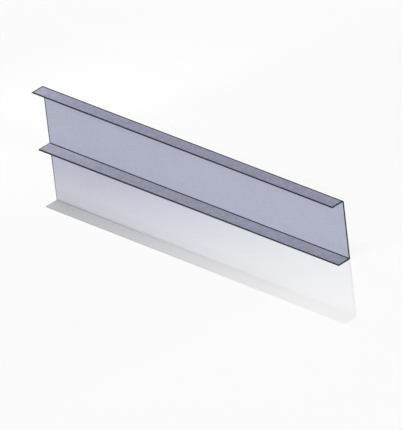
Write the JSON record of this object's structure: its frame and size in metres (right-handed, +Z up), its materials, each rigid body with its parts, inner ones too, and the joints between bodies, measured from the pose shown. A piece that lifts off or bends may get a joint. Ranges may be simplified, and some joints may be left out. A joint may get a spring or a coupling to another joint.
{
  "type": "u-channel",
  "caption": "Plain U-channel folded from thin steel sheet, with a wide web between equal short flanges, open along its side and at its ends, for framing, edging and cable runs.",
  "frame": {"origin": "on the floor, under the middle of the box that just holds the piece", "axes": "+X along the piece, +Y out of the web's outer face so that the open side faces -Y, +Z up the web"},
  "size_m": [1.25, 0.05, 0.2],
  "materials": {
    "zinc_coated_sheet": "satin blue-grey zinc coating with a fine grain along the piece and darker cut edges"
  },
  "bodies": {
    "root": {"u_channel": "zinc_coated_sheet"}
  },
  "joints": []
}
